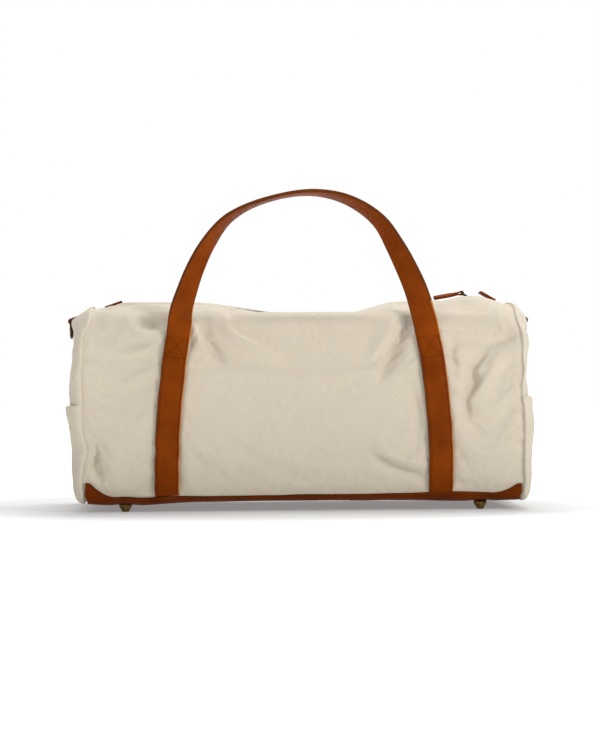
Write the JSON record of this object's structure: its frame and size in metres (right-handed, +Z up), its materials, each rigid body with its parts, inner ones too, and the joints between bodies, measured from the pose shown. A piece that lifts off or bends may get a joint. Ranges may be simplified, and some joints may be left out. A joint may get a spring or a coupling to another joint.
{
  "type": "duffel bag",
  "caption": "Soft canvas duffel bag with a leather base, two leather carrying handles, a zipped top, slip pockets and D-rings on its ends, and small metal feet.",
  "frame": {"origin": "on the floor, under the middle of the whole outline, the hanging back handle included", "axes": "+X along the bag from its left end to its right end, -Y its front, where the upright handle is, +Z up"},
  "size_m": [0.5914, 0.3176, 0.3934],
  "materials": {
    "canvas": "natural cream cotton canvas, plain weave with small dark seed flecks, soft and creased",
    "leather": "tan-brown vegetable-tanned leather, satin, fine grain, raw paler edges, stitched with tan thread",
    "brass": "antique brass, satin, darker in the recesses",
    "zip_metal": "dark antique brass, satin",
    "zip_tape": "woven cotton tape, cream grey",
    "binding": "cotton binding tape folded over the inside seams",
    "board": "stiffening board covered in drab cotton"
  },
  "bodies": {
    "bag": {"base_panel": "leather", "base_board": "board", "foot_front_left": "brass", "washer_front_left": "brass", "foot_front_right": "brass", "washer_front_right": "brass", "foot_back_left": "brass", "washer_back_left": "brass", "foot_back_right": "brass", "washer_back_right": "brass", "front_panel": "canvas", "front_left_strap": "leather", "front_right_strap": "leather", "back_panel": "canvas", "back_left_strap": "leather", "back_right_strap": "leather", "left_end_panel": "canvas", "left_end_pocket": "canvas", "left_seam_binding": "binding", "left_zip_end": "zip_tape", "left_ring_tab": "leather", "left_zip_tab": "leather", "right_end_panel": "canvas", "right_end_pocket": "canvas", "right_seam_binding": "binding", "right_zip_end": "zip_tape", "right_ring_tab": "leather", "right_zip_tab": "leather"},
    "front_lip": {"front_lip": "canvas", "front_zip_tape": "zip_tape", "front_zip_teeth": "zip_metal"},
    "back_lip": {"back_lip": "canvas", "back_zip_tape": "zip_tape", "back_zip_teeth": "zip_metal"},
    "slider": {"zip_slider": "zip_metal"},
    "pull_link": {"pull_link": "zip_metal"},
    "pull_tab": {"pull_tab": "leather"},
    "front_handle": {"front_handle": "leather"},
    "back_handle": {"back_handle": "leather"},
    "left_ring": {"left_ring": "brass"},
    "right_ring": {"right_ring": "brass"}
  },
  "joints": [
    {"name": "front_handle_fold", "type": "hinge", "parent": "bag", "child": "front_handle", "pos_m": [0, -0.14559, 0.221], "axis": [1, 0, 0], "range_deg": [-18, 160]},
    {"name": "back_handle_fold", "type": "hinge", "parent": "bag", "child": "back_handle", "pos_m": [0, 0.07541, 0.221], "axis": [-1, 0, 0], "range_deg": [-178, 0]},
    {"name": "front_lip_fold", "type": "hinge", "parent": "bag", "child": "front_lip", "pos_m": [0, -0.12109, 0.244], "axis": [1, 0, 0], "range_deg": [0, 50]},
    {"name": "back_lip_fold", "type": "hinge", "parent": "bag", "child": "back_lip", "pos_m": [0, 0.05091, 0.244], "axis": [-1, 0, 0], "range_deg": [0, 50]},
    {"name": "zip_travel", "type": "slide", "parent": "bag", "child": "slider", "axis": [1, 0, 0], "range_m": [-0.438, 0]},
    {"name": "pull_link_swing", "type": "hinge", "parent": "slider", "child": "pull_link", "pos_m": [0.2192, -0.03509, 0.2637], "axis": [0, 1, 0], "range_deg": [0, 90]},
    {"name": "pull_tab_swing", "type": "hinge", "parent": "pull_link", "child": "pull_tab", "pos_m": [0.20825, -0.03509, 0.2707], "axis": [0, 1, 0], "range_deg": [0, 90]},
    {"name": "left_ring_swing", "type": "hinge", "parent": "bag", "child": "left_ring", "pos_m": [-0.2885, -0.03509, 0.236], "axis": [0, 1, 0], "range_deg": [0, 120]},
    {"name": "right_ring_swing", "type": "hinge", "parent": "bag", "child": "right_ring", "pos_m": [0.2885, -0.03509, 0.236], "axis": [0, -1, 0], "range_deg": [0, 120]}
  ]
}
